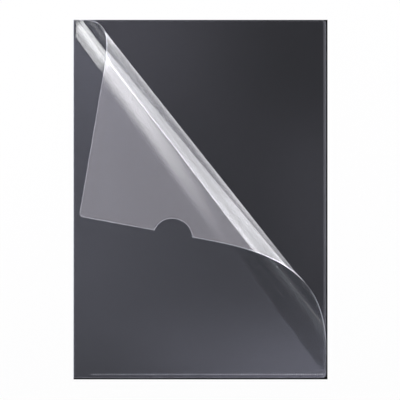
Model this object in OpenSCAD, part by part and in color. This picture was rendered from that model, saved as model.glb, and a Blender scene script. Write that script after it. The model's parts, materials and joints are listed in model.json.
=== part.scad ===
// Clear L-folder, lying on its back leaf with the front leaf peeled open.
// One film sheet is folded along the left edge and welded along the bottom edge.
// The peeled leaf bends on lines that all pass through the tip of one cone.
// Millimetres. X runs from the fold to the open edge, Y up the folder, Z up from the table.

/* [Folder] */
// Width from the outside of the fold to the open edge
folder_w = 219; // [215:1:225]
// Height from the welded edge to the open top
folder_h = 310; // [306:1:316]
// Thickness of the film
film_t = 0.2; // [0.15:0.01:0.25]
// Clear space between the two leaves
leaf_gap = 0.3; // [0.2:0.05:0.4]
// Radius of the corners on the open edge of the back leaf
back_corner_r = 3; // [1:0.5:6]
// Radius of the corners on the open edge of the front leaf
front_corner_r = 3.5; // [1:0.5:6]

/* [Thumb notch] */
// Middle of the notch below the top edge
notch_drop = 79; // [74:0.5:82]
// Length of the notch along the open edge
notch_w = 31.6; // [24:0.2:32]
// Depth of the notch into the leaf
notch_d = 13; // [8:0.5:14]

/* [Weld] */
// Height of the row of weld dots above the bottom edge
weld_up = 3; // [2:0.25:5]
// Middle of the first dot from the fold
weld_start = 15.5; // [8:0.5:24]
// Middle of the last dot from the open edge, at most
weld_end = 2.5; // [2:0.25:6]
// Step from dot to dot
dot_pitch = 2; // [1.5:0.1:3]
// Width of a dot along the edge
dot_w = 1; // [0.6:0.1:1.2]
// Height of a dot across the row
dot_h = 1.4; // [0.8:0.1:2]

/* [Peel] */
// Where the bending starts on the top edge, from the fold
lift_top = 4.6; // [3:0.1:8]
// Where the bending starts on the open edge, above the bottom edge
lift_side = 18.5; // [14:0.5:22]
// Where the bending ends on the top edge, from the fold
lay_top = 99.2; // [94:0.2:104]
// Where the bending ends on the open edge, above the bottom edge
lay_side = 199.8; // [192:0.2:204]
// Turn of the free corner from lying flat
peel_turn = 163; // [155:1:170]
// How much tighter the film bends at the start than at the end
peel_tightness = 1.7; // [1.5:0.02:1.76]
// Clearance between neighbouring strips at a bending line
hinge_gap = 0.1; // [0.05:0.01:0.2]

/* [Hidden] */
bends = 20;
film = [0.86, 0.89, 0.93, 0.45];
weld_film = [0.95, 0.96, 0.98, 0.8];
front_z = film_t + leaf_gap;
bend_z = front_z + film_t;
fold_r = bend_z / 2;
leaf_left = -folder_w / 2 + fold_r;
leaf_right = folder_w / 2;
leaf_top = folder_h / 2;
leaf_bottom = -folder_h / 2;
notch_r = (notch_w * notch_w / 4 + notch_d * notch_d) / (2 * notch_d);
dot_count = floor((folder_w - weld_start - weld_end) / dot_pitch) + 1;

// The first and the last bending line on the flat leaf, and where they meet
lift_a = [-folder_w / 2 + lift_top, leaf_top];
lift_b = [leaf_right, leaf_bottom + lift_side];
lay_a = [-folder_w / 2 + lay_top, leaf_top];
lay_b = [leaf_right, leaf_bottom + lay_side];
lift_dir = lift_b - lift_a;
lay_dir = lay_b - lay_a;
lift_angle = atan2(lift_dir.y, lift_dir.x);
lay_angle = atan2(lay_dir.y, lay_dir.x);
tip = lift_a + lift_dir * cross(lay_a - lift_a, lay_dir) / cross(lift_dir, lay_dir);
near = norm(lift_a - tip) / 2;
far = norm(tip) + folder_w + folder_h;

// Direction of bending line k (1 to 20) on the flat leaf
function bend_angle(k) =
  lift_angle + (lay_angle - lift_angle) * pow((k - 0.5) / bends, peel_tightness);

// Point at distance r from the tip along a direction, moved sideways by s
function on_line(a, r, s) = tip + r * [cos(a), sin(a)] + s * [-sin(a), cos(a)];

// Flat leaf with rounded corners on its open edge
module leaf_outline(corner_r) {
  difference() {
    translate([leaf_left, leaf_bottom])
      square([leaf_right - leaf_left, folder_h]);
    for (side = [-1, 1])
      translate([leaf_right, side * folder_h / 2])
        difference() {
          square(2 * corner_r, center = true);
          translate([-corner_r, -side * corner_r])
            circle(r = corner_r, $fn = 64);
        }
  }
}

// Flat front leaf with its thumb notch
module front_outline() {
  difference() {
    leaf_outline(front_corner_r);
    translate([leaf_right + notch_r - notch_d, leaf_top - notch_drop])
      circle(r = notch_r, $fn = 96);
  }
}

// Flat part of the front leaf between bending lines k and k + 1
module front_part(k) {
  a = k < 1 ? lift_angle - 60 : bend_angle(k);
  b = k < bends ? bend_angle(k + 1) : lay_angle + 60;
  translate([0, 0, front_z])
    linear_extrude(film_t)
      intersection() {
        front_outline();
        polygon([
          on_line(a, near, hinge_gap / 2), on_line(a, far, hinge_gap / 2),
          on_line(b, far, -hinge_gap / 2), on_line(b, near, -hinge_gap / 2)
        ]);
      }
}

// Carries a flat part over the first k bending lines, one after the other
module peeled(k) {
  if (k < 1)
    children();
  else
    peeled(k - 1)
      translate([tip.x, tip.y, bend_z])
        rotate([0, 0, bend_angle(k)])
          rotate([peel_turn / bends, 0, 0])
            rotate([0, 0, -bend_angle(k)])
              translate([-tip.x, -tip.y, -bend_z])
                children();
}

module back_sheet() {
  color(film)
    linear_extrude(film_t)
      leaf_outline(back_corner_r);
}

module spine_fold() {
  color(film)
    translate([leaf_left, 0, fold_r])
      rotate([90, 0, 0])
        intersection() {
          difference() {
            cylinder(r = fold_r, h = folder_h, center = true, $fn = 48);
            cylinder(r = fold_r - film_t, h = folder_h + 2, center = true, $fn = 48);
          }
          translate([-2 * fold_r, -2 * fold_r, -folder_h])
            cube([2 * fold_r, 4 * fold_r, 2 * folder_h]);
        }
}

module weld_dots() {
  color(weld_film)
    for (i = [0 : dot_count - 1])
      translate([
        -folder_w / 2 + weld_start + i * dot_pitch - dot_w / 2,
        leaf_bottom + weld_up - dot_h / 2,
        film_t
      ])
        cube([dot_w, dot_h, leaf_gap]);
}

module front_sheet() {
  color(film) front_part(0);
}

module roll_strip_01() {
  color(film) peeled(1) front_part(1);
}

module roll_strip_02() {
  color(film) peeled(2) front_part(2);
}

module roll_strip_03() {
  color(film) peeled(3) front_part(3);
}

module roll_strip_04() {
  color(film) peeled(4) front_part(4);
}

module roll_strip_05() {
  color(film) peeled(5) front_part(5);
}

module roll_strip_06() {
  color(film) peeled(6) front_part(6);
}

module roll_strip_07() {
  color(film) peeled(7) front_part(7);
}

module roll_strip_08() {
  color(film) peeled(8) front_part(8);
}

module roll_strip_09() {
  color(film) peeled(9) front_part(9);
}

module roll_strip_10() {
  color(film) peeled(10) front_part(10);
}

module roll_strip_11() {
  color(film) peeled(11) front_part(11);
}

module roll_strip_12() {
  color(film) peeled(12) front_part(12);
}

module roll_strip_13() {
  color(film) peeled(13) front_part(13);
}

module roll_strip_14() {
  color(film) peeled(14) front_part(14);
}

module roll_strip_15() {
  color(film) peeled(15) front_part(15);
}

module roll_strip_16() {
  color(film) peeled(16) front_part(16);
}

module roll_strip_17() {
  color(film) peeled(17) front_part(17);
}

module roll_strip_18() {
  color(film) peeled(18) front_part(18);
}

module roll_strip_19() {
  color(film) peeled(19) front_part(19);
}

module front_flap() {
  color(film) peeled(20) front_part(20);
}

back_sheet();
spine_fold();
weld_dots();
front_sheet();
roll_strip_01();
roll_strip_02();
roll_strip_03();
roll_strip_04();
roll_strip_05();
roll_strip_06();
roll_strip_07();
roll_strip_08();
roll_strip_09();
roll_strip_10();
roll_strip_11();
roll_strip_12();
roll_strip_13();
roll_strip_14();
roll_strip_15();
roll_strip_16();
roll_strip_17();
roll_strip_18();
roll_strip_19();
front_flap();
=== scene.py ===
import json
import math

import bpy
import numpy as np
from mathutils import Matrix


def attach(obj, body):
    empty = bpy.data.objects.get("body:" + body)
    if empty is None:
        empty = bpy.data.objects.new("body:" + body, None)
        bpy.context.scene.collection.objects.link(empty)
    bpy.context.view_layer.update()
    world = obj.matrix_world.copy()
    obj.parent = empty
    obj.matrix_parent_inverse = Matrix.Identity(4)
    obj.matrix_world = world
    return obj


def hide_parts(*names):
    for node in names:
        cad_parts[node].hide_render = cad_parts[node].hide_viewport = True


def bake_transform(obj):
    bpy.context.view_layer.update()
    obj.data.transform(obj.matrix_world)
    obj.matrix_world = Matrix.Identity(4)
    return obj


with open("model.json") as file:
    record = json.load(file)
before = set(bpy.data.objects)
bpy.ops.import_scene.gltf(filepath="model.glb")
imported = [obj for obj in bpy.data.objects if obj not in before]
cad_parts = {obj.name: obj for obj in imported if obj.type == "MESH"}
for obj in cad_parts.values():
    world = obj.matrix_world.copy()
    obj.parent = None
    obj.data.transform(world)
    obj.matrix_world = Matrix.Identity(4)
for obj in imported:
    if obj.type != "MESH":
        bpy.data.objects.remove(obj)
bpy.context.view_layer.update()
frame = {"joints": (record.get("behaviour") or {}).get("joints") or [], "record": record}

# Back leaf
# The lower half of one sheet of clear polypropylene film, 0.2 mm thick, which lies on the table.
# Its two corners on the open side are die cut round, and a little whiteness is painted along its cut rims,
# partly the whitened cut and partly a painted highlight.
mm = 0.001
folder_w = 219 * mm
folder_h = 310 * mm
film_t = 0.2 * mm
leaf_gap = 0.3 * mm
fold_r = film_t + leaf_gap / 2
leaf_left = -folder_w / 2 + fold_r
leaf_right = folder_w / 2
leaf_top = folder_h / 2
leaf_bottom = -folder_h / 2
back_corner_r = 3 * mm
corner_points = 9


def bare_material(name):
    """A new material with an empty node tree, and that tree."""
    made = bpy.data.materials.new(name)
    made.use_nodes = True
    made.node_tree.nodes.clear()
    return made, made.node_tree


def shader(tree, kind, place, **settings):
    """A new node at a place in the tree, with its settings."""
    made = tree.nodes.new(kind)
    made.location = place
    for key, value in settings.items():
        setattr(made, key, value)
    return made


def show_mix(tree, share, first, second):
    """Ends a material in a mix of two shaders, by the share of the second."""
    both = shader(tree, "ShaderNodeMixShader", (0, 0))
    out = shader(tree, "ShaderNodeOutputMaterial", (200, 0))
    tree.links.new(share, both.inputs["Fac"])
    tree.links.new(first.outputs[0], both.inputs[1])
    tree.links.new(second.outputs[0], both.inputs[2])
    tree.links.new(both.outputs["Shader"], out.inputs["Surface"])


rim_dark = 0.68
head_on_mirror = 0.04


def clear_film(name, clear_tint, milk_tint, milk, rim_milk_and_highlight, gloss):
    """Clear film: a mirror share and a trace of milkiness that grow at a slant.

    Its cut rims are milkier, partly for the whitened cut and partly as a painted highlight, and they let
    less of what lies behind show."""
    film, tree = bare_material(name)
    place = shader(tree, "ShaderNodeTexCoord", (-1300, 0))
    sway = shader(tree, "ShaderNodeTexNoise", (-1100, -200))
    sway.inputs["Scale"].default_value = 14
    sway.inputs["Detail"].default_value = 1.5
    bump = shader(tree, "ShaderNodeBump", (-900, -200))
    bump.inputs["Strength"].default_value = 1
    bump.inputs["Distance"].default_value = 0.03 * mm
    smear = shader(tree, "ShaderNodeTexNoise", (-1100, 200))
    smear.inputs["Scale"].default_value = 60
    smear.inputs["Detail"].default_value = 4
    smear_milk = shader(tree, "ShaderNodeMapRange", (-900, 200))
    smear_milk.inputs["From Min"].default_value = 0.3
    smear_milk.inputs["From Max"].default_value = 0.7
    smear_milk.inputs["To Min"].default_value = milk * 0.8
    smear_milk.inputs["To Max"].default_value = milk * 1.2
    smear_gloss = shader(tree, "ShaderNodeMapRange", (-900, 450))
    smear_gloss.inputs["From Min"].default_value = 0.3
    smear_gloss.inputs["From Max"].default_value = 0.7
    smear_gloss.inputs["To Min"].default_value = gloss * 0.85
    smear_gloss.inputs["To Max"].default_value = gloss * 1.15
    # How much whiter each rim is painted, partly the whitened cut and partly a painted highlight
    rim = shader(tree, "ShaderNodeAttribute", (-1100, 700), attribute_name="cut_rim_and_highlight")
    rim_share = shader(tree, "ShaderNodeMath", (-700, 300), operation="MULTIPLY_ADD")
    rim_share.inputs[1].default_value = rim_milk_and_highlight
    slant = shader(tree, "ShaderNodeLayerWeight", (-700, -200))
    slant.inputs["Blend"].default_value = 0.5
    # The way through the film is longer at a slant, and 1.05 keeps it finite at a grazing look.
    upright = shader(tree, "ShaderNodeMath", (-500, -50), operation="SUBTRACT")
    upright.inputs[0].default_value = 1.05
    way_through = shader(tree, "ShaderNodeMath", (-300, 100), operation="DIVIDE", use_clamp=True)
    steep = shader(tree, "ShaderNodeMath", (-500, -200), operation="POWER")
    steep.inputs[1].default_value = 5
    mirror = shader(tree, "ShaderNodeMath", (-300, -200), operation="MULTIPLY_ADD")
    mirror.inputs[1].default_value = 1 - head_on_mirror
    mirror.inputs[2].default_value = head_on_mirror
    # A Mix node takes its two colours in inputs 6 and 7, and gives their mix in output 2.
    through = shader(tree, "ShaderNodeMix", (-700, 600), data_type="RGBA")
    through.inputs[6].default_value = (*clear_tint, 1)
    through.inputs[7].default_value = (*(rim_dark * c for c in clear_tint), 1)
    clear = shader(tree, "ShaderNodeBsdfTransparent", (-500, 500))
    milky = shader(tree, "ShaderNodeBsdfDiffuse", (-500, 350))
    milky.inputs["Color"].default_value = (*milk_tint, 1)
    shine = shader(tree, "ShaderNodeBsdfGlossy", (-200, -400))
    shine.inputs["Color"].default_value = (1, 1, 1, 1)
    body = shader(tree, "ShaderNodeMixShader", (-200, 300))
    link = tree.links.new
    link(place.outputs["Object"], sway.inputs["Vector"])
    link(place.outputs["Object"], smear.inputs["Vector"])
    link(sway.outputs["Fac"], bump.inputs["Height"])
    link(smear.outputs["Fac"], smear_milk.inputs["Value"])
    link(smear.outputs["Fac"], smear_gloss.inputs["Value"])
    link(rim.outputs["Fac"], rim_share.inputs[0])
    link(rim.outputs["Fac"], through.inputs[0])
    link(through.outputs[2], clear.inputs["Color"])
    link(smear_milk.outputs["Result"], rim_share.inputs[2])
    link(bump.outputs["Normal"], slant.inputs["Normal"])
    link(bump.outputs["Normal"], shine.inputs["Normal"])
    link(slant.outputs["Facing"], steep.inputs[0])
    link(slant.outputs["Facing"], upright.inputs[1])
    link(rim_share.outputs["Value"], way_through.inputs[0])
    link(upright.outputs["Value"], way_through.inputs[1])
    link(steep.outputs["Value"], mirror.inputs[0])
    link(smear_gloss.outputs["Result"], shine.inputs["Roughness"])
    link(way_through.outputs["Value"], body.inputs["Fac"])
    link(clear.outputs["BSDF"], body.inputs[1])
    link(milky.outputs["BSDF"], body.inputs[2])
    show_mix(tree, mirror.outputs["Value"], body, shine)
    return film


def cut_side(name):
    """The cut side of the film, a thin bright line where light leaves the sheet."""
    side, tree = bare_material(name)
    place = shader(tree, "ShaderNodeTexCoord", (-700, 0))
    nicks = shader(tree, "ShaderNodeTexNoise", (-500, 0))
    nicks.inputs["Scale"].default_value = 400
    share = shader(tree, "ShaderNodeMapRange", (-300, 0))
    share.inputs["To Min"].default_value = 0.35
    share.inputs["To Max"].default_value = 0.65
    clear = shader(tree, "ShaderNodeBsdfTransparent", (-300, -250))
    pale = shader(tree, "ShaderNodeBsdfPrincipled", (-300, -400))
    pale.inputs["Base Color"].default_value = (0.86, 0.88, 0.92, 1)
    pale.inputs["Roughness"].default_value = 0.35
    tree.links.new(place.outputs["Object"], nicks.inputs["Vector"])
    tree.links.new(nicks.outputs["Fac"], share.inputs["Value"])
    show_mix(tree, share.outputs["Result"], clear, pale)
    return side


def joined_side(name):
    """Where the film runs on into the next piece there is no side to see."""
    side, tree = bare_material(name)
    clear = shader(tree, "ShaderNodeBsdfTransparent", (0, 0))
    out = shader(tree, "ShaderNodeOutputMaterial", (200, 0))
    tree.links.new(clear.outputs["BSDF"], out.inputs["Surface"])
    return side


film_tint = (0.985, 0.99, 1.0)
milk_tint = (0.84, 0.86, 0.92)
film_milk = 0.004
film_gloss = 0.05
back_film = clear_film("back_leaf_film", film_tint, milk_tint, film_milk, rim_milk_and_highlight=0.20, gloss=film_gloss)
cut_film_side = cut_side("cut_film_side")
joined_film_side = joined_side("joined_film_side")


def grid_faces(rows, columns):
    """The four-sided faces of a grid of points that are numbered row by row."""
    index = np.arange(rows * columns).reshape(rows, columns)
    corners = (index[:-1, :-1], index[:-1, 1:], index[1:, 1:], index[1:, :-1])
    return np.stack([corner.ravel() for corner in corners], 1)


def face_ways(points, faces):
    """The way that each four-sided face looks, not of unit length."""
    first = points[faces[:, 0]]
    return np.cross(points[faces[:, 1]] - first, points[faces[:, 3]] - first)


def in_scene(name, data):
    """A new object in the scene."""
    made = bpy.data.objects.new(name, data)
    bpy.context.scene.collection.objects.link(made)
    return made


film_slot, cut_slot, joined_slot = 0, 1, 2


def film_shell(name, upper, normal, rim, cut, film):
    """A closed sheet of film from a grid of points on its upper face, with its normals.

    cut holds, for the first row, the last row, the first column and the last column, True where
    the sheet ends there and False where it runs on into its neighbour."""
    rows, columns = upper.shape[:2]
    count = rows * columns
    lower = upper - normal * film_t
    points = np.concatenate([upper.reshape(-1, 3), lower.reshape(-1, 3)])
    flat_normals = normal.reshape(-1, 3)
    top = grid_faces(rows, columns)
    middle = top[len(top) // 2]
    if face_ways(points, middle[None])[0] @ flat_normals[middle[0]] < 0:
        top = top[:, ::-1]
    under = top[:, ::-1] + count
    faces = [top, under]
    slots = [np.full(2 * len(top), film_slot)]
    index = np.arange(count).reshape(rows, columns)
    borders = (index[0], index[-1], index[:, 0], index[:, -1])
    inside = points[count // 2 + columns // 2]
    for border, is_cut in zip(borders, cut):
        near, far = border[:-1], border[1:]
        wall = np.stack([near, far, far + count, near + count], 1)
        outward = points[wall[:, 0]] - inside
        if (face_ways(points, wall) * outward).sum() < 0:
            wall = wall[:, ::-1]
        faces.append(wall)
        flags = np.broadcast_to(np.asarray(is_cut), (len(wall),))
        slots.append(np.where(flags, cut_slot, joined_slot))
    faces = np.concatenate(faces)
    mesh = bpy.data.meshes.new(name)
    mesh.from_pydata(points.tolist(), [], faces.tolist())
    for material in (film, cut_film_side, joined_film_side):
        mesh.materials.append(material)
    mesh.polygons.foreach_set("material_index", np.concatenate(slots).astype(np.int32))
    mesh.polygons.foreach_set("use_smooth", np.ones(len(faces), bool))
    # The painted whiteness of the cut rims, partly the whitened cut and partly a painted highlight
    shade = mesh.attributes.new("cut_rim_and_highlight", "FLOAT", "POINT")
    shade.data.foreach_set("value", np.tile(rim.ravel(), 2).astype(np.float32))
    corner_normals = np.zeros((len(faces) * 4, 3))
    corner_normals[: len(top) * 4] = flat_normals[top.ravel()]
    corner_normals[len(top) * 4: len(top) * 8] = -flat_normals[under.ravel() - count]
    wall_ways = face_ways(points, faces[2 * len(top):])
    wall_ways /= np.maximum(np.linalg.norm(wall_ways, axis=1, keepdims=True), 1e-15)
    corner_normals[len(top) * 8:] = np.repeat(wall_ways, 4, axis=0)
    mesh.update()
    mesh.normals_split_custom_set(corner_normals.tolist())
    return in_scene(name, mesh)


rim_steps = np.array([0, 0.25, 0.5, 0.8, 1.2, 1.7, 2.2, 2.8]) * mm


def steps_near_rim(start, end, count):
    """Places from start to end, evenly apart, with close steps at the rim on both ends."""
    way = 1 if end > start else -1
    middle = np.linspace(start + way * rim_steps[-1], end - way * rim_steps[-1], count)
    return np.concatenate([start + way * rim_steps[:-1], middle, end - way * rim_steps[:-1][::-1]])


def rows_together(*groups):
    """All rows in one rising list, with those merged that agree to a tenth of a micron."""
    return np.unique(np.round(np.concatenate(groups), 7))


def round_corner(depth, radius):
    """How far a round corner draws the side in, at a depth from the end of the leaf."""
    depth = np.minimum(depth, radius)
    return radius - np.sqrt(np.maximum(radius ** 2 - (radius - depth) ** 2, 0))


quarter_turn = np.linspace(0, math.pi / 2, corner_points)
corner_steps = back_corner_r * (1 - np.cos(quarter_turn))
back_row_count = 31
back_column_count = 22
back_rows = rows_together(
    steps_near_rim(leaf_bottom, leaf_top, back_row_count),
    leaf_bottom + corner_steps, leaf_top - corner_steps,
)
end_depth = np.minimum(back_rows - leaf_bottom, leaf_top - back_rows)
back_right = leaf_right - round_corner(end_depth, back_corner_r)
across = (steps_near_rim(leaf_left, leaf_right, back_column_count) - leaf_left) / (leaf_right - leaf_left)
back_x = leaf_left + across[None, :] * (back_right - leaf_left)[:, None]
back_y = np.broadcast_to(back_rows[:, None], back_x.shape)
back_upper = np.stack([back_x, back_y, np.full_like(back_x, film_t)], -1)
back_normal = np.broadcast_to(np.array([0.0, 0.0, 1.0]), back_upper.shape).copy()


def rim_whitening_and_highlight(distance, width):
    """1 on the cut rim, and 0 further inside than the width of the bright line, which is partly a painted
    highlight.
    """
    fall_off = 1.3
    return np.clip(1 - np.maximum(distance, 0) / width, 0, 1) ** fall_off


# Strength and width of the bright line along each side of the leaf, partly the whitened cut and partly a
# painted highlight
open_strength, open_width = 0.46, 2.7 * mm
top_strength, top_width = 0.1, 1.7 * mm
bottom_strength, bottom_width = 0.3, 0.8 * mm
crease_strength, crease_width = 0.5, 1.1 * mm
back_rim_and_highlight = np.maximum.reduce([
    open_strength * np.sqrt(rim_whitening_and_highlight(back_right[:, None] - back_x, open_width)),
    top_strength * np.sqrt(rim_whitening_and_highlight(leaf_top - back_y, top_width)),
    bottom_strength * rim_whitening_and_highlight(back_y - leaf_bottom, bottom_width),
    crease_strength * rim_whitening_and_highlight(back_x - leaf_left, crease_width),
])
back_cut = (True, True, False, True)
back_leaf = film_shell("back_leaf", back_upper, back_normal, back_rim_and_highlight, back_cut, back_film)
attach(back_leaf, "folder")
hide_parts("back_sheet")

# Spine fold
# The same film bent over on itself along the left side, pressed into a tight half round.
# The crease is painted whiter along its whole length, partly the whitened film of the crease and partly a
# painted highlight.
crease_tint = (0.98, 0.985, 1.0)
crease_whitening_and_highlight = 0.9
fold_row_count = 15
fold_column_count = 17
crease_film = clear_film("crease_film", crease_tint, milk_tint, milk=0.03, rim_milk_and_highlight=0.9, gloss=0.08)
turn = np.linspace(-math.pi / 2, -3 * math.pi / 2, fold_column_count)
fold_rows = steps_near_rim(leaf_bottom, leaf_top, fold_row_count)
fold_out = np.stack([np.cos(turn), np.zeros_like(turn), np.sin(turn)], -1)
fold_line = np.array([leaf_left, 0, fold_r]) + fold_r * fold_out
fold_upper = fold_line[None] + np.array([0, 1, 0]) * fold_rows[:, None, None]
fold_normal = np.broadcast_to(fold_out, fold_upper.shape).copy()
fold_rim_and_highlight = np.full(fold_upper.shape[:2], crease_whitening_and_highlight)
fold_cut = (True, True, False, False)
spine_fold = film_shell("spine_crease", fold_upper, fold_normal, fold_rim_and_highlight, fold_cut, crease_film)
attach(spine_fold, "folder")
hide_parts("spine_fold")

# Weld dots
# A row of small spots where a heated tool melted the two leaves together along the bottom.
# Melted film turns milky, and the spots nearer the open corner took more heat.
weld_up = 3 * mm
weld_start = 15.5 * mm
weld_end = 2.5 * mm
dot_pitch = 2 * mm
dot_size = (0.7 * mm, 1.4 * mm, leaf_gap * 0.9)
dot_count = int((folder_w - weld_start - weld_end) / dot_pitch + 1e-6) + 1

melted_film, tree = bare_material("melted_film")
place = shader(tree, "ShaderNodeTexCoord", (-900, 0))
along = shader(tree, "ShaderNodeSeparateXYZ", (-700, 200))
heat = shader(tree, "ShaderNodeMapRange", (-500, 200))
heat.inputs["From Min"].default_value = -folder_w / 2
heat.inputs["From Max"].default_value = folder_w / 2
heat.inputs["To Min"].default_value = 0.4
heat.inputs["To Max"].default_value = 1.7
blotch = shader(tree, "ShaderNodeTexNoise", (-700, -100))
blotch.inputs["Scale"].default_value = 450
uneven = shader(tree, "ShaderNodeMapRange", (-500, -100))
uneven.inputs["From Min"].default_value = 0.3
uneven.inputs["From Max"].default_value = 0.7
uneven.inputs["To Min"].default_value = 0.35
uneven.inputs["To Max"].default_value = 1.4
share = shader(tree, "ShaderNodeMath", (-300, 100), operation="MULTIPLY")
clear = shader(tree, "ShaderNodeBsdfTransparent", (-300, -100))
milky = shader(tree, "ShaderNodeBsdfPrincipled", (-300, -250))
milky.inputs["Base Color"].default_value = (0.9, 0.91, 0.94, 1)
milky.inputs["Roughness"].default_value = 0.5
tree.links.new(place.outputs["Object"], along.inputs["Vector"])
tree.links.new(along.outputs["X"], heat.inputs["Value"])
tree.links.new(place.outputs["Object"], blotch.inputs["Vector"])
tree.links.new(blotch.outputs["Fac"], uneven.inputs["Value"])
tree.links.new(heat.outputs["Result"], share.inputs[0])
tree.links.new(uneven.outputs["Result"], share.inputs[1])
show_mix(tree, share.outputs["Value"], clear, milky)

weld_row = bpy.data.node_groups.new("weld_row", "GeometryNodeTree")
sockets = {}
for label, kind in (("Count", "NodeSocketInt"), ("Pitch", "NodeSocketFloat"), ("Start", "NodeSocketVector"),
                    ("Dot Size", "NodeSocketVector"), ("Material", "NodeSocketMaterial")):
    sockets[label] = weld_row.interface.new_socket(label, in_out="INPUT", socket_type=kind).identifier
weld_row.interface.new_socket("Geometry", in_out="OUTPUT", socket_type="NodeSocketGeometry")
given = weld_row.nodes.new("NodeGroupInput")
step = weld_row.nodes.new("ShaderNodeCombineXYZ")
line = weld_row.nodes.new("GeometryNodeMeshLine")
line.mode = "OFFSET"
to_points = weld_row.nodes.new("GeometryNodeMeshToPoints")
dot = weld_row.nodes.new("GeometryNodeMeshCube")
for side in ("Vertices X", "Vertices Y", "Vertices Z"):
    dot.inputs[side].default_value = 3
rounded = weld_row.nodes.new("GeometryNodeSubdivisionSurface")
rounded.inputs["Level"].default_value = 1
spread = weld_row.nodes.new("GeometryNodeInstanceOnPoints")
uneven_size = weld_row.nodes.new("FunctionNodeRandomValue")
uneven_size.data_type = "FLOAT_VECTOR"
uneven_size.inputs["Min"].default_value = (0.6, 0.75, 1)
uneven_size.inputs["Max"].default_value = (1.2, 1, 1)
uneven_size.inputs["Seed"].default_value = 7
real = weld_row.nodes.new("GeometryNodeRealizeInstances")
finish = weld_row.nodes.new("GeometryNodeSetMaterial")
result = weld_row.nodes.new("NodeGroupOutput")
steps = (given, step, line, to_points, dot, rounded, uneven_size, spread, real, finish, result)
node_step = 180
for place_in_row, made in enumerate(steps):
    made.location = (place_in_row * node_step, 0)
link = weld_row.links.new
link(given.outputs["Count"], line.inputs["Count"])
link(given.outputs["Pitch"], step.inputs["X"])
link(step.outputs["Vector"], line.inputs["Offset"])
link(given.outputs["Start"], line.inputs["Start Location"])
link(line.outputs["Mesh"], to_points.inputs["Mesh"])
link(given.outputs["Dot Size"], dot.inputs["Size"])
link(dot.outputs["Mesh"], rounded.inputs["Mesh"])
link(to_points.outputs["Points"], spread.inputs["Points"])
link(rounded.outputs["Mesh"], spread.inputs["Instance"])
link(uneven_size.outputs["Value"], spread.inputs["Scale"])
link(spread.outputs["Instances"], real.inputs["Geometry"])
link(real.outputs["Geometry"], finish.inputs["Geometry"])
link(given.outputs["Material"], finish.inputs["Material"])
link(finish.outputs["Geometry"], result.inputs["Geometry"])

weld_seed = in_scene("weld_row_seed", bpy.data.meshes.new("weld_row_seed"))
row = weld_seed.modifiers.new("weld_row", "NODES")
row.node_group = weld_row
row[sockets["Count"]] = dot_count
row[sockets["Pitch"]] = dot_pitch
row[sockets["Start"]] = (-folder_w / 2 + weld_start, leaf_bottom + weld_up, film_t + leaf_gap / 2)
row[sockets["Dot Size"]] = dot_size
row[sockets["Material"]] = melted_film
bpy.context.view_layer.update()
seen = weld_seed.evaluated_get(bpy.context.evaluated_depsgraph_get())
weld_mesh = bpy.data.meshes.new_from_object(seen)
weld_mesh.name = "weld_dots_melted"
bpy.data.objects.remove(weld_seed)
weld_dots = in_scene("weld_dots_melted", weld_mesh)
for face in weld_mesh.polygons:
    face.use_smooth = True
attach(weld_dots, "folder")
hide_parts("weld_dots")

# Front leaf
# The upper half of the sheet, free along its top and its open side, with a thumb notch in that side.
# Its free corner is peeled back in one smooth roll, a cone whose bending lines all meet at one tip.
front_corner_r = 3.5 * mm
notch_drop = 79 * mm
notch_half = 31.6 / 2 * mm
notch_d = 13 * mm
notch_y = leaf_top - notch_drop
notch_r = (notch_half ** 2 + notch_d ** 2) / (2 * notch_d)
notch_x = leaf_right + notch_r - notch_d
bend_z = 2 * film_t + leaf_gap
bends = len(frame["joints"])
peel_turn = math.radians(163)
peel_tightness = 1.7
lift_top = 4.6 * mm
lift_side = 18.5 * mm
lay_top = 99.2 * mm
lay_side = 199.8 * mm
lift_a = np.array([-folder_w / 2 + lift_top, leaf_top])
lift_b = np.array([leaf_right, leaf_bottom + lift_side])
lay_a = np.array([-folder_w / 2 + lay_top, leaf_top])
lay_b = np.array([leaf_right, leaf_bottom + lay_side])
lift_way = lift_b - lift_a
lay_way = lay_b - lay_a
lift_angle = math.atan2(lift_way[1], lift_way[0])
fan = math.atan2(lay_way[1], lay_way[0]) - lift_angle
gap = lay_a - lift_a
reach = (gap[0] * lay_way[1] - gap[1] * lay_way[0]) / (lift_way[0] * lay_way[1] - lift_way[1] * lay_way[0])
tip = lift_a + lift_way * reach


def soft(value, start, end):
    """0 at the start, 1 at the end, with a smooth run between."""
    share = np.clip((value - start) / (end - start), 0, 1)
    return share * share * (3 - 2 * share)


def eased(at, a, b, value_a, value_b, slope_a, slope_b):
    """A smooth run from one value and slope to another."""
    t = (at - a) / (b - a)
    return (value_a * (2 * t ** 3 - 3 * t ** 2 + 1) + value_b * (3 * t ** 2 - 2 * t ** 3)
            + (b - a) * (slope_a * (t ** 3 - 2 * t ** 2 + t) + slope_b * (t ** 3 - t ** 2)))


def roll_turn(f):
    """How far the film has turned, at a share of the fan from the lift line to the lay line."""
    power = 1 / peel_tightness
    early = (1 / bends) ** peel_tightness
    early_turn = peel_turn / bends
    early_slope = early_turn * power / early
    late = 0.93
    late_turn = peel_turn * late ** power
    late_slope = late_turn * power / late
    last = 2 - late
    start = eased(np.clip(f, -early, early), -early, early, 0, early_turn, 0, early_slope)
    middle = peel_turn * np.clip(f, early, late) ** power
    end = eased(np.clip(f, late, last), late, last, late_turn, peel_turn, late_slope, 0)
    return np.where(f < early, start, np.where(f > late, end, middle))


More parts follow.
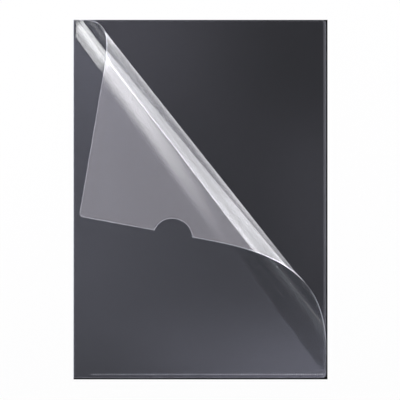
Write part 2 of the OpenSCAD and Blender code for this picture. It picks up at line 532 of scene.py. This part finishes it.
# The roll is followed in small steps, from just before the lift line to past the free corner
flat_margin = 0.02
last_angle = math.radians(-28)
roll_steps = 5000
table_angle = np.linspace(lift_angle - flat_margin, last_angle, roll_steps)
table_turn = roll_turn((table_angle - lift_angle) / fan)
run = np.array([math.cos(table_angle[0]), math.sin(table_angle[0]), 0.0])
side = np.array([-run[1], run[0], 0.0])
face = np.array([0.0, 0.0, 1.0])
table_run, table_face = [run], [face]
for d_angle, d_turn in zip(np.diff(table_angle), np.diff(table_turn)):
    side, face = (side * math.cos(d_turn / 2) + face * math.sin(d_turn / 2),
                  face * math.cos(d_turn / 2) - side * math.sin(d_turn / 2))
    run, side = (run * math.cos(d_angle) + side * math.sin(d_angle),
                 side * math.cos(d_angle) - run * math.sin(d_angle))
    side, face = (side * math.cos(d_turn / 2) + face * math.sin(d_turn / 2),
                  face * math.cos(d_turn / 2) - side * math.sin(d_turn / 2))
    table_run.append(run)
    table_face.append(face)
table_run = np.array(table_run)
table_face = np.array(table_face)

# The crease beside the roll: a point on it, the way across it, and the film's slope beyond it in degrees
crease_at = np.array([-108.8, 139.6]) * mm
crease_across = np.array([0.804, 0.595])
slope_run = np.linspace(0, 16, 321) * mm
first_slope = 5
later_slope = 4
slope = first_slope * soft(slope_run, 0, 1.4 * mm) + later_slope * soft(slope_run, 1 * mm, 11 * mm)
slope = np.radians(slope)
slope *= soft(slope_run, 15 * mm, 10.5 * mm)
slope_height = np.concatenate([[0], np.cumsum(np.tan(slope[1:] + slope[:-1]) / 2) * slope_run[1]])

# The rise dies away along the roll, between two shares of the fan, and at the spine fold and the weld
rise_whole, rise_gone = 0.05, 0.45
spine_run = 1.6 * mm
weld_run = (3 * mm, 14 * mm)


def swell(x, y):
    """How far the film has already risen before it rolls, from a faint crease beside the roll."""
    beyond = (x - crease_at[0]) * crease_across[0] + (y - crease_at[1]) * crease_across[1]
    rise = np.interp(beyond, slope_run, slope_height)
    share = (np.arctan2(y - tip[1], x - tip[0]) - lift_angle) / fan
    rise = rise * soft(share, rise_gone, rise_whole)
    return rise * soft(x - leaf_left, 0, spine_run) * soft(y - leaf_bottom, *weld_run)


def peeled(x, y):
    """Where a point on the upper face of the flat leaf lies once it is peeled, and the normal there."""
    dx, dy = x - tip[0], y - tip[1]
    angle = np.arctan2(dy, dx)
    r = np.hypot(dx, dy)
    ways = []
    for table in (table_run, table_face):
        way = np.stack([np.interp(angle, table_angle, table[:, i]) for i in range(3)], -1)
        ways.append(way / np.linalg.norm(way, axis=-1, keepdims=True))
    flat = angle < table_angle[0]
    level = np.stack([dx, dy, np.zeros_like(dx)], -1)
    place = np.where(flat[..., None], level, r[..., None] * ways[0])
    place = place + np.array([tip[0], tip[1], bend_z])
    face = np.where(flat[..., None], (0.0, 0.0, 1.0), ways[1])
    along = np.where(flat[..., None], level / r[..., None], ways[0])
    side = np.cross(face, along)
    up = np.array([0.0, 0.0, 1.0])
    cosine, sine = np.cos(angle)[..., None], np.sin(angle)[..., None]
    step = 0.05 * mm
    slope_x = ((swell(x + step, y) - swell(x - step, y)) / (2 * step))[..., None]
    slope_y = ((swell(x, y + step) - swell(x, y - step)) / (2 * step))[..., None]
    tilted = face + slope_y * np.cross(along * cosine - side * sine, up)
    tilted += slope_x * np.cross(up, along * sine + side * cosine)
    place = place + up * swell(x, y)[..., None]
    return place, tilted / np.linalg.norm(tilted, axis=-1, keepdims=True)


def open_side(y):
    """The open side of the leaf at a height: straight, drawn in at the round corners and by the notch."""
    x = leaf_right - round_corner(np.minimum(y - leaf_bottom, leaf_top - y), front_corner_r)
    in_notch = np.abs(y - notch_y) < notch_half
    arc = notch_x - np.sqrt(np.maximum(notch_r ** 2 - (y - notch_y) ** 2, 0))
    return np.where(in_notch, np.minimum(arc, leaf_right), x)


# The line is partly a painted highlight: it grows over the shares of the fan where the film stands on edge,
# and widens near the open side
on_edge_highlight_start = (0.02, 0.12)
on_edge_highlight_end = (0.85, 0.5)
wide_highlight_run = (leaf_right - 20 * mm, leaf_right - 8 * mm)
edge_highlight_boost = 1.2
edge_highlight_widening = 0.7
low_strength = 0.8
low_narrowing = 0.65


def front_rim_and_highlight(x, y, width):
    """The bright line along the cut sides of the leaf, partly the whitened cut and partly a painted
    highlight that is brighter where the film stands on edge.
    """
    open_edge = np.minimum(leaf_right - x, np.hypot(x - notch_x, y - notch_y) - notch_r)
    corner = np.minimum(leaf_right - x, leaf_top - y)
    past_x = np.maximum(x - leaf_right + front_corner_r, 0)
    deep = np.hypot(past_x, np.maximum(y - leaf_top + front_corner_r, 0))
    in_corner = (x > leaf_right - front_corner_r) & (y > leaf_top - front_corner_r)
    corner = np.where(in_corner, front_corner_r - deep, corner)
    low = y - leaf_bottom
    deep = np.hypot(past_x, np.maximum(leaf_bottom + front_corner_r - y, 0))
    in_low = (x > leaf_right - front_corner_r) & (y < leaf_bottom + front_corner_r)
    low = np.where(in_low, front_corner_r - deep, low)
    share = (np.arctan2(y - tip[1], x - tip[0]) - lift_angle) / fan
    # The painted highlight is brighter where the film stands on edge, and wider near the open side
    on_edge_highlight = soft(share, *on_edge_highlight_start) * soft(share, *on_edge_highlight_end)
    wide = on_edge_highlight * soft(x, *wide_highlight_run)
    line = rim_whitening_and_highlight(np.minimum(open_edge, corner), width * (1 + edge_highlight_widening * wide))
    glow = (1 + edge_highlight_boost * on_edge_highlight + wide) * line
    return np.maximum(glow, low_strength * rim_whitening_and_highlight(low, width * low_narrowing))


front_film = clear_film("front_leaf_film", film_tint, milk_tint, film_milk, rim_milk_and_highlight=0.22, gloss=film_gloss)
front_line = 0.8 * mm
seam_share = (np.arange(bends + 1) / bends) ** peel_tightness
seam_angle = lift_angle + fan * seam_share
chain = ["folder"] + [joint["child"] for joint in frame["joints"]]
leaf_nodes = [frame["record"]["behaviour"]["bodies"][body][-1] for body in chain]
front_pieces = bpy.data.collections.new("front_pieces")


def top_end(angle):
    """Where a line through the tip of the cone meets the top of the flat leaf."""
    return tip + (leaf_top - tip[1]) / math.sin(angle) * np.array([math.cos(angle), math.sin(angle)])


def bend_over(piece, number, start_angle, end_angle):
    """Bakes a piece's place into its mesh and adds it to the front pieces. It works out its joint's axis
    and the line across it, between two lines that meet at the tip of the cone, but uses neither.
    """
    joint = frame["joints"][number - 1]
    axis = np.array(joint["axis"], float)
    ends = []
    for angle in (start_angle, end_angle):
        at = top_end(angle)
        place, _ = peeled(at[0], at[1])
        ends.append(place)
    across = ends[1] - ends[0]
    across -= axis * (across @ axis)
    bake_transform(piece)
    front_pieces.objects.link(piece)


# Flat part of the front leaf
# It runs from the spine fold and the weld up to where the film begins to lift.
# Beside the roll it already rises a little off the back leaf, from a faint crease.
seam = seam_angle[1]
seam_end_y = tip[1] + (leaf_right - tip[0]) * math.tan(seam)
seam_row_count = 75
low_row_count = 6
flat_column_count = 61
crowding = 2.2
low_corner = leaf_bottom + front_corner_r * (1 - np.cos(quarter_turn))
flat_rows = rows_together(
    steps_near_rim(leaf_top, seam_end_y, seam_row_count),
    steps_near_rim(seam_end_y, leaf_bottom, low_row_count), low_corner, [seam_end_y],
)
on_seam = flat_rows >= seam_end_y - 1e-7
flat_end = np.where(on_seam, tip[0] + (flat_rows - tip[1]) / math.tan(seam), open_side(flat_rows))
share = 1 - (1 - np.linspace(0, 1, flat_column_count)) ** crowding
flat_x = leaf_left + share[None, :] * (flat_end - leaf_left)[:, None]
flat_y = np.broadcast_to(flat_rows[:, None], flat_x.shape)
flat_upper, flat_normal = peeled(flat_x, flat_y)
flat_rim_and_highlight = front_rim_and_highlight(flat_x, flat_y, front_line)
flat_leaf = film_shell("front_leaf_flat", flat_upper, flat_normal, flat_rim_and_highlight,
                       (True, True, False, ~on_seam[:-1]), front_film)
bend_over(flat_leaf, 1, lift_angle - fan * seam_share[1], seam)
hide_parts("front_sheet")

# Rolled part of the front leaf
# One smooth cone of film, in bands that lie between the model's bending lines.
# Neighbours share their seam line and its normal, so that no seam shows.
band_line_count = 7
band_spot_count = 56
for number in range(2, bends):
    lines = lift_angle + fan * (np.linspace(number - 1, number, band_line_count) / bends) ** peel_tightness
    near = (leaf_top - tip[1]) / np.sin(lines)
    far = (leaf_right - tip[0]) / np.cos(lines)
    spots = np.array([steps_near_rim(a, b, band_spot_count) for a, b in zip(near, far)])
    band_x = tip[0] + spots * np.cos(lines)[:, None]
    band_y = tip[1] + spots * np.sin(lines)[:, None]
    band_upper, band_normal = peeled(band_x, band_y)
    band_rim_and_highlight = front_rim_and_highlight(band_x, band_y, front_line)
    band = film_shell(f"front_leaf_roll_{number - 1:02d}", band_upper, band_normal, band_rim_and_highlight,
                      (False, False, True, True), front_film)
    bend_over(band, number, lines[0], lines[-1])
    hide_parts(leaf_nodes[number - 1])

# Free corner of the front leaf
# It is turned right over, and has the thumb notch that a finger lifts it by.
# The notch and the round corner are die cut, and their rims show as bright lines, partly the whitened cut
# and partly a painted highlight.
notch_point_count = 41
flap_row_count = 40
flap_column_count = 49
seam = seam_angle[bends - 1]
seam_end_y = tip[1] + (leaf_right - tip[0]) * math.tan(seam)
notch_turn = np.linspace(-1, 1, notch_point_count) * math.asin(notch_half / notch_r)
notch_rows = notch_y + notch_r * np.sin(notch_turn)
high_corner = leaf_top - front_corner_r * (1 - np.cos(quarter_turn))
seam_clear = 0.02 * mm
least_width = 0.005 * mm
flap_rows = rows_together(
    steps_near_rim(seam_end_y + seam_clear, leaf_top, flap_row_count), notch_rows, high_corner,
)
flap_start = tip[0] + (flap_rows - tip[1]) / math.tan(seam)
flap_end = np.maximum(open_side(flap_rows), flap_start + least_width)
share = (1 - np.cos(np.linspace(0, math.pi, flap_column_count))) / 2
flap_x = flap_start[:, None] + share[None, :] * (flap_end - flap_start)[:, None]
flap_y = np.broadcast_to(flap_rows[:, None], flap_x.shape)
flap_upper, flap_normal = peeled(flap_x, flap_y)
flap_rim_and_highlight = front_rim_and_highlight(flap_x, flap_y, front_line)
flap_cut = (True, True, False, True)
flap = film_shell("front_leaf_corner", flap_upper, flap_normal, flap_rim_and_highlight, flap_cut, front_film)
past_lay_line = 1.03
bend_over(flap, bends, seam, lift_angle + fan * past_lay_line)
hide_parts(leaf_nodes[bends - 1], leaf_nodes[bends])

# Table and card
# The table is plain white. A thin matt black card lies under the folder, because clear film hardly
# shows on white: it is part of the stage.
background_share = 0.95
table_paint, tree = bare_material("table_paint")
matt = shader(tree, "ShaderNodeBsdfDiffuse", (-300, 100))
matt.inputs["Color"].default_value = (0.92, 0.92, 0.92, 1)
glow = shader(tree, "ShaderNodeEmission", (-300, -100))
path = shader(tree, "ShaderNodeLightPath", (-700, 300))
seen_a = shader(tree, "ShaderNodeMath", (-500, 300), operation="MAXIMUM")
seen_b = shader(tree, "ShaderNodeMath", (-300, 300), operation="MAXIMUM")
part = shader(tree, "ShaderNodeMath", (-100, 300), operation="MULTIPLY")
part.inputs[1].default_value = background_share
tree.links.new(path.outputs["Is Camera Ray"], seen_a.inputs[0])
tree.links.new(path.outputs["Is Glossy Ray"], seen_a.inputs[1])
tree.links.new(seen_a.outputs["Value"], seen_b.inputs[0])
tree.links.new(path.outputs["Is Transmission Ray"], seen_b.inputs[1])
tree.links.new(seen_b.outputs["Value"], part.inputs[0])
show_mix(tree, part.outputs["Value"], matt, glow)

card_stock, tree = bare_material("card_stock")
place = shader(tree, "ShaderNodeTexCoord", (-700, 0))
fibre = shader(tree, "ShaderNodeTexNoise", (-500, 0))
fibre.inputs["Scale"].default_value = 700
shade = shader(tree, "ShaderNodeMapRange", (-300, 0))
shade.inputs["To Min"].default_value = 0.001
shade.inputs["To Max"].default_value = 0.003
matt = shader(tree, "ShaderNodeBsdfDiffuse", (-100, 0))
out = shader(tree, "ShaderNodeOutputMaterial", (100, 0))
tree.links.new(place.outputs["Object"], fibre.inputs["Vector"])
tree.links.new(fibre.outputs["Fac"], shade.inputs["Value"])
tree.links.new(shade.outputs["Result"], matt.inputs["Color"])
tree.links.new(matt.outputs["BSDF"], out.inputs["Surface"])


def flat_panel(name, x0, x1, y0, y1, z, material):
    """A level panel of the stage."""
    mesh = bpy.data.meshes.new(name)
    mesh.from_pydata([(x0, y0, z), (x1, y0, z), (x1, y1, z), (x0, y1, z)], [], [(0, 1, 2, 3)])
    mesh.materials.append(material)
    in_scene(name, mesh)


table_half = 4
table_z = -0.4 * mm
card_left = -folder_w / 2 + 0.15 * mm
card_right = leaf_right + 1.2 * mm
card_bottom = leaf_bottom - 1.35 * mm
card_top = leaf_top + 0.2 * mm
card_z = -0.15 * mm
flat_panel("table", -table_half, table_half, -table_half, table_half, table_z, table_paint)
flat_panel("card", card_left, card_right, card_bottom, card_top, card_z, card_stock)

# Studio light
# Soft screens under a dim sky. The turned corner mirrors the screen ahead, the roll mirrors the bright
# screen, the low screen and the floor as long bands, and the film that lies flat mirrors the one overhead.
world = bpy.data.worlds.new("studio")
bpy.context.scene.world = world
world.use_nodes = True
tree = world.node_tree
tree.nodes.clear()
place = shader(tree, "ShaderNodeTexCoord", (-900, 0))
height = shader(tree, "ShaderNodeSeparateXYZ", (-700, 0))
sky = shader(tree, "ShaderNodeMapRange", (-500, 0), interpolation_type="SMOOTHSTEP")
sky.inputs["From Min"].default_value = 0.1
sky.inputs["From Max"].default_value = 0.75
sky.inputs["To Min"].default_value = 0.55
sky.inputs["To Max"].default_value = 0.22
back = shader(tree, "ShaderNodeBackground", (-300, 0))
back.inputs["Color"].default_value = (0.90, 0.92, 1.0, 1)
out = shader(tree, "ShaderNodeOutputWorld", (-100, 0))
tree.links.new(place.outputs["Generated"], height.inputs["Vector"])
tree.links.new(height.outputs["Z"], sky.inputs["Value"])
tree.links.new(sky.outputs["Result"], back.inputs["Strength"])
tree.links.new(back.outputs["Background"], out.inputs["Surface"])

folder_middle = np.array([0, 0, 0.06])


def glow_panel(name, points, levels, tint):
    """A softly glowing screen from a grid of points, with its brightness at each point.

    It shines only towards the middle of the folder, and lets what is behind it show."""
    paint, tree = bare_material(name)
    level = shader(tree, "ShaderNodeAttribute", (-400, 0), attribute_name="glow")
    light = shader(tree, "ShaderNodeEmission", (-200, 0))
    light.inputs["Color"].default_value = (*tint, 1)
    clear = shader(tree, "ShaderNodeBsdfTransparent", (-200, -150))
    both = shader(tree, "ShaderNodeAddShader", (0, 0))
    out = shader(tree, "ShaderNodeOutputMaterial", (200, 0))
    facing = shader(tree, "ShaderNodeNewGeometry", (-800, 0))
    front = shader(tree, "ShaderNodeMath", (-600, 0), operation="SUBTRACT")
    front.inputs[0].default_value = 1
    lit = shader(tree, "ShaderNodeMath", (-300, 100), operation="MULTIPLY")
    tree.links.new(facing.outputs["Backfacing"], front.inputs[1])
    tree.links.new(front.outputs["Value"], lit.inputs[0])
    tree.links.new(level.outputs["Fac"], lit.inputs[1])
    tree.links.new(lit.outputs["Value"], light.inputs["Strength"])
    tree.links.new(light.outputs["Emission"], both.inputs[0])
    tree.links.new(clear.outputs["BSDF"], both.inputs[1])
    tree.links.new(both.outputs["Shader"], out.inputs["Surface"])
    faces = grid_faces(*points.shape[:2])
    spots = points.reshape(-1, 3)
    if (face_ways(spots, faces) * (spots[faces[:, 0]] - folder_middle)).sum() > 0:
        faces = faces[:, ::-1]
    mesh = bpy.data.meshes.new(name)
    mesh.from_pydata(spots.tolist(), [], faces.tolist())
    mesh.materials.append(paint)
    glow = mesh.attributes.new("glow", "FLOAT", "POINT")
    glow.data.foreach_set("value", levels.ravel().astype(np.float32))
    made = in_scene(name, mesh)
    made.visible_camera = False
    made.visible_shadow = False
    return made


# The screen ahead curves round the folder. A brighter one stands low before its left side.
# Turn is the bearing from the X axis and lift the height above the table, both in degrees.
screen_far = 1.6
screen_mid = np.array([0, 0, 0.05])
first_turn, last_turn = 30, 102
first_lift, last_lift = 5, 67
ahead_strength = 1.85
bright_strength = 7.0
turn, lift = np.meshgrid(np.linspace(first_turn, last_turn, 49), np.linspace(first_lift, last_lift, 43))
level = ahead_strength * soft(turn, first_turn, 37) * soft(turn, last_turn, 94) * soft(lift, last_lift, 60)
# The bright screen is at its full strength up to a height that grows with the turn.
full = np.clip(turn - 33, 18, 33)
bright = bright_strength * soft(turn, 44, 57) * soft(turn, 84, 72)
bright = bright * soft(lift, 50, full) * soft(lift, 8.8, 12.4)
turn, lift = np.radians(turn), np.radians(lift)
way = np.stack([np.cos(turn) * np.cos(lift), np.sin(turn) * np.cos(lift), np.sin(lift)], -1)
glow_panel("screen_ahead", screen_far * way + screen_mid, level, tint=(0.98, 0.922, 1.0))
bright_far = screen_far - 0.01
glow_panel("screen_bright", bright_far * way + screen_mid, bright, tint=(0.98, 0.968, 0.972))

# The screen overhead is dim and uneven, and the film that lies flat mirrors it.
# It is made of soft patches of more light and of less, placed in metres across and along the folder.
overhead_z = 2.0
across, along = np.meshgrid(np.linspace(-0.7, 0.7, 41), np.linspace(-0.9, 0.9, 51))
all_over = 0.24 * soft(np.hypot(across + 0.25, along + 0.6), 0.12, 0.42)
low_band = soft(along, -0.17, -0.33) * soft(along, -0.6, -0.44)
low_right = 0.6 * low_band * soft(across, -0.2, 0.34) * soft(across, 0.6, 0.42)
low_left = 0.06 * soft(along, -0.18, -0.27) * soft(along, -0.42, -0.34) * soft(across, 0.06, -0.06)
upper_left = 0.36 * np.exp(-((across + 0.14) ** 2 + (along - 0.31) ** 2) / 0.17 ** 2)
left_side = 0.1 * soft(across, -0.05, -0.22) * soft(along, -0.3, -0.1)
right_side = 0.12 * soft(across, 0.1, 0.22) * soft(np.abs(along), 0.22, 0.05)
less_upper_right = 0.11 * soft(np.hypot(across - 0.2, along - 0.3), 0.25, 0.05)
less_middle = 0.06 * np.exp(-((across - 0.06) ** 2 + (along + 0.12) ** 2) / 0.08 ** 2)
level = all_over + low_right + low_left + upper_left + left_side + right_side
level = level - less_upper_right - less_middle
screen = np.stack([across, along, np.full_like(across, overhead_z)], -1)
glow_panel("screen_overhead", screen, level, tint=(0.815, 0.805, 1.0))

# A low screen stands far off on the right, and the roll mirrors it as the left side of its white band.
# For each turn, in degrees, it has a height in metres, a strength, and a brighter line near its upper side.
turn = np.array([30, 36, 38.9, 42.6, 48.3, 51.5, 54.7, 60, 70, 80])
top = np.array([0.13, 0.15, 0.17, 0.235, 0.29, 0.36, 0.43, 0.48, 0.5, 0.5])
strength = np.array([9, 9, 9, 8, 6.2, 6.6, 7.8, 8.2, 8, 5])
glint = np.array([0, 0, 0, 0.15, 0.8, 0.7, 0.2, 0.1, 0.1, 0.1])
share = np.array([0, 0.4, 0.8, 0.84, 1])
glint_run = (0.8, 0.85)
way = np.stack([np.cos(np.radians(turn)), np.sin(np.radians(turn))], -1) * screen_far
size = (len(turn), len(share))
screen = np.stack([
    np.broadcast_to(way[:, 0:1], size), np.broadcast_to(way[:, 1:2], size), top[:, None] * share,
], -1)
level = strength[:, None] * (1 + glint[:, None] * soft(share, *glint_run))
low_tint = (0.98, 0.965, 1)
glow_panel("screen_low", screen, level, low_tint)

# Light from a bright floor between the roll and that screen fills the right side of the band.
# Each line runs out over the floor, in millimetres: from the roll, past a step in the light, to its end.
lines = np.array([
    [(-86, 166), (330, 790), (600, 1550)],
    [(-66, 142), (400, 700), (700, 1500)],
    [(-52, 126), (90, 278), (900, 1100)],
    [(2, 61), (64, 118), (1100, 1000)],
    [(51, 1), (88, 33), (1250, 900)],
    [(84, -38), (108, -22), (1350, 700)],
    [(118, -79), (134, -68), (1500, 450)],
]) * mm
near_end, step_up, far_end = lines[:, 0], lines[:, 1], lines[:, 2]
hair = 0.001
before_step = step_up * (1 - hair) + near_end * hair
floor_glow = np.stack([near_end, before_step, step_up, far_end], 1)
floor_z = 1.5 * mm
floor_glow = np.concatenate([floor_glow, np.full((len(lines), 4, 1), floor_z)], -1)
outwards = np.array([0.9, 1.0, 3.4, 6.8])
along_roll = np.array([1.7, 1.65, 1.45, 1.07, 1.3, 0.76, 0.05])
floor_light = glow_panel("floor_glow", floor_glow, outwards * along_roll[:, None], low_tint)
floor_light.light_linking.receiver_collection = front_pieces

# A small screen above the upper left shines on the film where it starts to lift. It is a slanted strip,
# in millimetres, brightest part of the way along, and it fades towards its two long sides.
strip_start = (-138, 133)
strip_slope = 0.62
strip_across = (0.53, 0.85)
strip_half = 30
strip_z = 300.0
reach = np.array([-150, -160, -172, -177, -190, -196, -300, -400])
strength = np.array([3.2, 4.8, 5.2, 7.5, 12, 10, 7, 6])
wide = np.linspace(-strip_half, strip_half, 7)
screen_x = reach[:, None] + wide * strip_across[0]
screen_y = strip_start[1] + (reach[:, None] - strip_start[0]) * strip_slope - wide * strip_across[1]
screen_z = np.full(screen_x.shape, strip_z)
fade = soft(np.abs(wide), strip_half, 22)
screen = np.stack([screen_x, screen_y, screen_z], -1) * mm
glow_panel("screen_left", screen, strength[:, None] * fade, tint=(1, 1, 1))

# Camera
# It looks straight down on the folder from 1.7 m up, with a long lens.
camera_data = bpy.data.cameras.new("camera")
camera_data.lens = 174.5
camera_data.sensor_width = 36
camera_data.clip_end = 20
camera = in_scene("camera", camera_data)
camera_height = 1.68
camera.location = (0.2 * mm, -0.9 * mm, camera_height)
bpy.context.scene.camera = camera
bpy.context.scene.view_settings.view_transform = "Standard"
bpy.context.scene.cycles.transparent_max_bounces = 40
